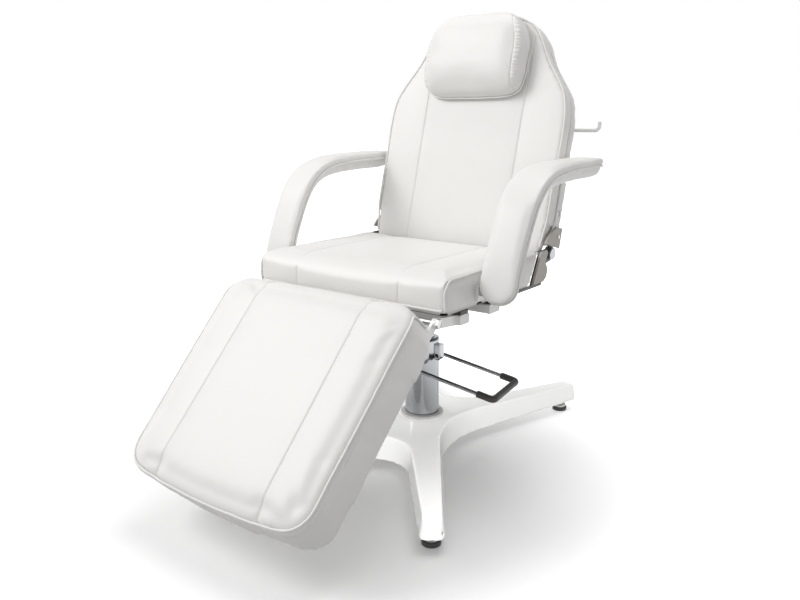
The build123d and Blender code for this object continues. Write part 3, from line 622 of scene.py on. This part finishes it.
def makeArm(name):
    v = armValues
    pad = copyNodes("armPad_" + name, "arm_pad_" + name, "arm_core_" + name, "arm_cover_" + name)
    puff(pad, v, lambda p: False)
    sign = 1 if pad.data.vertices[0].co.x > 0 else -1
    rows = armLine()
    total = rows[-1][0]
    middle, halfWide = (v["inner"] + v["outer"]) / 2, (v["outer"] - v["inner"]) / 2

    def shape(p, out):
        along, spot, up = armPlace(rows, p)
        high = (p - spot).dot(up)
        past = (p - spot - up * high)
        past.x = 0
        # the hard underside slopes in from the piped edge, and the rear end thins to a point
        across = abs(p.x) - middle
        if high < 0:
            across *= 1 + v["slope"] * high / halfWide
        thin = clamp((total + v["tipPast"] - along) / v["tipRun"], v["tipThin"], 1)
        high *= thin if high < 0 else math.sqrt(thin)
        across = clamp(across, -halfWide - v["easeIn"], halfWide + v["easeOut"])
        return Vector((sign * (middle + across), 0, 0)) + Vector((0, spot.y, spot.z)) + up * high + past

    reshape(pad, shape)
    return pad, piping("armPiping_" + name, armPipingPoints(rows, sign), pad, v["cord"], closed=True)


armPads = {}
armCords = {}
for name in ("left", "right"):
    armPads[name], armCords[name] = makeArm(name)
print("arm pads done")

# base casting with softened edges
castingValues = {"voxel": 0.0035, "rounds": 5, "swell": 0.0010}
casting = copyNodes("castingSkin", "base_casting")
# the thin walls are swollen while they are remeshed, so that none opens up
reshape(casting, lambda point, out: point + out * castingValues["swell"])
remesh(casting, castingValues["voxel"])
smooth(casting, 0.5, castingValues["rounds"])
reshape(casting, lambda point, out: point - out * castingValues["swell"])
bpy.ops.object.shade_smooth()
print("casting done")


def hexColour(code):
    channels = []
    for i in (0, 2, 4):
        value = int(code[i:i + 2], 16) / 255
        channels.append(value / 12.92 if value <= 0.04045 else ((value + 0.055) / 1.055) ** 2.4)
    return (*channels, 1.0)


def addNode(tree, kind, settings=None, links=None):
    node = tree.nodes.new(kind)
    for key, value in (settings or {}).items():
        if isinstance(key, str) and hasattr(node, key):
            setattr(node, key, value)
        else:
            node.inputs[key].default_value = value
    for key, source in (links or {}).items():
        tree.links.new(source, node.inputs[key])
    return node


def startMaterial(title):
    material = bpy.data.materials.new(title)
    material.use_nodes = True
    tree = material.node_tree
    tree.nodes.clear()
    coords = addNode(tree, "ShaderNodeTexCoord").outputs["Object"]
    return material, tree, coords


def endMaterial(tree, shader):
    addNode(tree, "ShaderNodeOutputMaterial", links={"Surface": shader.outputs["BSDF"]})


# polyurethane-coated upholstery fabric: soft satin, an embossed leather grain of about 1 mm that is
# drawn 2.4 mm coarse to show, and faint clouding where the foam behind it varies
vinylValues = {"light": "EAE9E7", "dark": "E6E4E1", "grain": 0.0024, "grainBump": 0.10,
               "clothBump": 0.20, "cloud": 0.11, "roughLow": 0.36, "roughHigh": 0.50}


def makeVinyl():
    material, tree, coords = startMaterial("polyurethaneUpholstery")
    v = vinylValues
    cloud = addNode(tree, "ShaderNodeTexNoise", {"Scale": 1 / v["cloud"], "Detail": 3.0},
                    {"Vector": coords})
    tone = addNode(tree, "ShaderNodeMix", {"data_type": "RGBA", 6: hexColour(v["dark"]),
                                           7: hexColour(v["light"])}, {0: cloud.outputs["Fac"]})
    rough = addNode(tree, "ShaderNodeMapRange", {"To Min": v["roughLow"], "To Max": v["roughHigh"]},
                    {"Value": cloud.outputs["Fac"]})
    grain = addNode(tree, "ShaderNodeTexVoronoi", {"Scale": 1 / v["grain"], "feature": "SMOOTH_F1",
                                                   "Smoothness": 0.7}, {"Vector": coords})
    fold = addNode(tree, "ShaderNodeTexNoise", {"Scale": 26.0, "Detail": 2.0, "Distortion": 0.3},
                   {"Vector": coords})
    foldBump = addNode(tree, "ShaderNodeBump", {"Strength": v["clothBump"], "Distance": 0.003},
                       {"Height": fold.outputs["Fac"]})
    grainBump = addNode(tree, "ShaderNodeBump", {"Strength": v["grainBump"], "Distance": 0.0006},
                        {"Height": grain.outputs["Distance"], "Normal": foldBump.outputs["Normal"]})
    shader = addNode(tree, "ShaderNodeBsdfPrincipled", {"IOR": 1.48},
                     {"Base Color": tone.outputs[2], "Roughness": rough.outputs["Result"],
                      "Normal": grainBump.outputs["Normal"]})
    endMaterial(tree, shader)
    return material


# every hard finish: a colour that varies a little, a roughness that varies a little, a fine bump
def makeHard(title, light, dark, size, rough, bump, metallic=0.0, coat=0.0, ior=1.5):
    material, tree, coords = startMaterial(title)
    broad = addNode(tree, "ShaderNodeTexNoise", {"Scale": 9.0, "Detail": 4.0}, {"Vector": coords})
    fine = addNode(tree, "ShaderNodeTexNoise", {"Scale": 1 / size, "Detail": 3.0}, {"Vector": coords})
    tone = addNode(tree, "ShaderNodeMix", {"data_type": "RGBA", 6: hexColour(dark), 7: hexColour(light)},
                   {0: broad.outputs["Fac"]})
    roughness = addNode(tree, "ShaderNodeMapRange", {"To Min": rough[0], "To Max": rough[1]},
                        {"Value": fine.outputs["Fac"]})
    relief = addNode(tree, "ShaderNodeBump", {"Strength": bump[0], "Distance": bump[1]},
                     {"Height": fine.outputs["Fac"]})
    shader = addNode(tree, "ShaderNodeBsdfPrincipled",
                     {"Metallic": metallic, "IOR": ior, "Coat Weight": coat, "Coat Roughness": 0.08},
                     {"Base Color": tone.outputs[2], "Roughness": roughness.outputs["Result"],
                      "Normal": relief.outputs["Normal"]})
    endMaterial(tree, shader)
    return material


# birch plywood: thin bands of face veneer along its grain
def makePlywood():
    material, tree, coords = startMaterial("birchPlywood")
    placed = addNode(tree, "ShaderNodeMapping", {"Scale": (1, 0.12, 0.12)}, {"Vector": coords})
    bands = addNode(tree, "ShaderNodeTexNoise", {"Scale": 160.0, "Detail": 6.0, "Distortion": 0.6},
                    {"Vector": placed.outputs["Vector"]})
    tone = addNode(tree, "ShaderNodeMix", {"data_type": "RGBA", 6: hexColour("C9A878"),
                                           7: hexColour("E2CBA2")}, {0: bands.outputs["Fac"]})
    relief = addNode(tree, "ShaderNodeBump", {"Strength": 0.15, "Distance": 0.0004},
                     {"Height": bands.outputs["Fac"]})
    shader = addNode(tree, "ShaderNodeBsdfPrincipled", {"Roughness": 0.62},
                     {"Base Color": tone.outputs[2], "Normal": relief.outputs["Normal"]})
    endMaterial(tree, shader)
    return material


finishes = {
    # baked powder paint, glossy, with the faint orange peel of a sprayed coat
    "white_enamel": makeHard("glossPowderPaint", "F6F6F5", "F2F1EF", 0.004, (0.14, 0.22),
                             (0.06, 0.0006), coat=0.35),
    "white_vinyl": makeVinyl(),
    # moulded rubber: matt, slightly dusty
    "black_rubber": makeHard("mouldedRubber", "4A4846", "3B3937", 0.002, (0.46, 0.62), (0.25, 0.0005),
                             ior=1.52),
    # bright zinc on pressed steel
    "zinc_steel": makeHard("zincPlatedSteel", "C3C4C2", "A9AAA8", 0.003, (0.24, 0.38), (0.10, 0.0003),
                           metallic=1.0),
    # chrome over polished steel tube
    "chrome_plate": makeHard("chromePlate", "A9ABAD", "9A9C9F", 0.02, (0.05, 0.10), (0.02, 0.0003),
                             metallic=1.0),
    # injection-moulded white collar
    "white_plastic": makeHard("whiteMouldedPlastic", "F2F2F0", "ECEBE8", 0.003, (0.26, 0.34),
                              (0.06, 0.0004), ior=1.49),
    # black paint on pressed plates
    "black_enamel": makeHard("blackPaintedSteel", "2B2B2C", "222223", 0.003, (0.30, 0.42),
                             (0.10, 0.0004)),
    # warm grey moulded hinge covers with a fine spark-eroded texture
    "grey_plastic": makeHard("greyMouldedPlastic", "AFAAA2", "A39E96", 0.0018, (0.36, 0.46),
                             (0.12, 0.0004), ior=1.49),
    "plywood": makePlywood(),
    # hook tape: dense, dull and pale
    "hook_tape": makeHard("hookTape", "E6E4E0", "D3D0CB", 0.0012, (0.8, 0.9), (0.5, 0.0006)),
}
slotOf = {part["node"]: part["material_slot"] for part in frame["record"]["subparts"]}
for node, thing in nodes.items():
    thing.data.materials.clear()
    thing.data.materials.append(finishes[slotOf[node]])
    onlySelect(thing)
    bpy.ops.object.shade_smooth_by_angle(angle=math.radians(32))
print("materials done")


# every new piece: its finish, the body it rides on, what it stands for
def settle(piece, slotName, body, stands=()):
    piece.data.materials.clear()
    piece.data.materials.append(finishes[slotName])
    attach(piece, body)
    if stands:
        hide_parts(*stands)


settle(seatPad, "white_vinyl", "seat", ("seat_cushion", "seat_board"))
settle(legPad, "white_vinyl", "legrest", ("legrest_cushion", "legrest_board"))
settle(backPad, "white_vinyl", "back", ("back_cushion", "back_board", "back_rear_pad"))
settle(pillowPad, "white_vinyl", "pillow", ("pillow",))
for piece in seatCords:
    settle(piece, "white_vinyl", "seat")
for piece in legCords:
    settle(piece, "white_vinyl", "legrest")
for piece in backCords:
    settle(piece, "white_vinyl", "back")
for piece in pillowCords:
    settle(piece, "white_vinyl", "pillow")
for name in ("left", "right"):
    settle(armPads[name], "white_vinyl", "armrest_" + name,
           ("arm_pad_" + name, "arm_core_" + name, "arm_cover_" + name))
    settle(armCords[name], "white_vinyl", "armrest_" + name)
settle(casting, "white_enamel", "base", ("base_casting",))

# floor, light and camera
stageValues = {
    "floor": 30.0, "floorDrop": 0.0004,
    # the floor's paint glows white away from the chair as painted light, and glows less round this spot, so
    # painted shade adds to the cast shadow there
    "shade": (0.12, 0.42, 0), "shadeIn": 0.40, "shadeOut": 1.6, "glowNear": 0.11, "glowFar": 1.0,
    # the sky: white up to a height, above that dimmer on the sitter's left, and dim below
    "skyBright": 1.0, "brightTo": 0.28, "brightEnd": 0.44, "skyDim": 0.18, "skyFront": 0.62,
    "skySide": (-0.75, -0.66, 0.0), "skyUnder": 0.34,
    "keyPlace": (-2.3, -2.6, 3.3), "keySize": 2.0, "keyPower": 86,
    "topPlace": (0.4, 0.6, 4.2), "topSize": 2.4, "topPower": 54,
    "basePlace": (1.0, -1.7, 1.6), "baseSize": 1.0, "basePower": 46,
    "cameraPlace": (1.219, -1.708, 0.947), "cameraTilt": 76.46, "cameraTurn": 37.29, "lens": 34.0,
}
onlySelect()
bpy.ops.mesh.primitive_circle_add(vertices=96, radius=stageValues["floor"], fill_type="NGON",
                                  location=(0, 0, -stageValues["floorDrop"]))
floor = bpy.context.active_object
floor.name = "floor"
bpy.ops.object.transform_apply(location=True, rotation=True, scale=True)
floorPaint = makeHard("paleFloorPaintedGlow", "FAFAFA", "F8F8F8", 0.05, (0.55, 0.6), (0.01, 0.0002))
painted = next(n for n in floorPaint.node_tree.nodes if n.type == "BSDF_PRINCIPLED")
# painted light: the floor's paint glows, weakly near the chair and white further out
painted.inputs["Emission Color"].default_value = (1, 1, 1, 1)
placed = addNode(floorPaint.node_tree, "ShaderNodeMapping", {"Location": stageValues["shade"]}, {
    "Vector": addNode(floorPaint.node_tree, "ShaderNodeTexCoord").outputs["Object"]})
reach = addNode(floorPaint.node_tree, "ShaderNodeVectorMath", {"operation": "LENGTH"},
                {0: placed.outputs["Vector"]})
spread = addNode(floorPaint.node_tree, "ShaderNodeMapRange",
                 {"From Min": stageValues["shadeIn"], "From Max": stageValues["shadeOut"],
                  "To Min": stageValues["glowNear"],
                  "To Max": stageValues["glowFar"], "interpolation_type": "SMOOTHSTEP"},
                 {"Value": reach.outputs["Value"]})
floorPaint.node_tree.links.new(spread.outputs["Result"], painted.inputs["Emission Strength"])
floor.data.materials.append(floorPaint)
# the light thrown up from below comes from the studio instead of from the painted glow
floor.visible_diffuse = False

world = bpy.data.worlds.new("studio")
scene.world = world
world.use_nodes = True
tree = world.node_tree
tree.nodes.clear()
direction = addNode(tree, "ShaderNodeTexCoord").outputs["Generated"]
height = addNode(tree, "ShaderNodeSeparateXYZ", links={"Vector": direction})
under = addNode(tree, "ShaderNodeMapRange", {"From Min": -0.09, "From Max": -0.04,
                                             "To Min": stageValues["skyUnder"], "To Max": 1.0,
                                             "interpolation_type": "SMOOTHSTEP"},
                {"Value": height.outputs["Z"]})
glow = addNode(tree, "ShaderNodeMapRange", {"From Min": stageValues["brightTo"],
                                            "From Max": stageValues["brightEnd"],
                                            "To Min": stageValues["skyBright"], "To Max": 0.0,
                                            "interpolation_type": "SMOOTHSTEP"},
               {"Value": height.outputs["Z"]})
side = addNode(tree, "ShaderNodeVectorMath", {"operation": "DOT_PRODUCT", 1: stageValues["skySide"]},
               {0: direction})
room = addNode(tree, "ShaderNodeMapRange", {"From Min": -0.5, "From Max": 0.8,
                                            "To Min": stageValues["skyDim"],
                                            "To Max": stageValues["skyFront"]},
               {"Value": side.outputs["Value"]})
sky = addNode(tree, "ShaderNodeMath", {"operation": "MAXIMUM"},
              {0: glow.outputs["Result"], 1: room.outputs["Result"]})
sky = addNode(tree, "ShaderNodeMath", {"operation": "MULTIPLY"},
              {0: sky.outputs["Value"], 1: under.outputs["Result"]})
backdrop = addNode(tree, "ShaderNodeBackground", {"Color": (1, 1, 1, 1)},
                   {"Strength": sky.outputs["Value"]})
addNode(tree, "ShaderNodeOutputWorld", links={"Surface": backdrop.outputs["Background"]})


def addLight(title, place, target, size, power):
    bpy.ops.object.light_add(type="AREA", location=place)
    lamp = bpy.context.active_object
    lamp.name = title
    lamp.data.size = size
    lamp.data.energy = power
    lamp.rotation_euler = (Vector(target) - Vector(place)).to_track_quat("-Z", "Y").to_euler()
    return lamp


addLight("keyLight", stageValues["keyPlace"], (0, -0.1, 0.6), stageValues["keySize"],
         stageValues["keyPower"])
addLight("topLight", stageValues["topPlace"], (0, 0, 0.4), stageValues["topSize"], stageValues["topPower"])
# a lamp for the casting alone, which stands in the shade of the seat
baseLight = addLight("baseLight", stageValues["basePlace"], (0, 0, 0.08), stageValues["baseSize"],
                     stageValues["basePower"])
onlyCasting = bpy.data.collections.new("onlyCasting")
onlyCasting.objects.link(casting)
baseLight.light_linking.receiver_collection = onlyCasting
baseLight.light_linking.blocker_collection = onlyCasting

bpy.ops.object.camera_add(location=stageValues["cameraPlace"],
                          rotation=(math.radians(stageValues["cameraTilt"]), 0,
                                    math.radians(stageValues["cameraTurn"])))
camera = bpy.context.active_object
camera.data.lens = stageValues["lens"]
camera.data.sensor_width = 36.0
scene.camera = camera
scene.view_settings.view_transform = "Standard"
print("stage done")
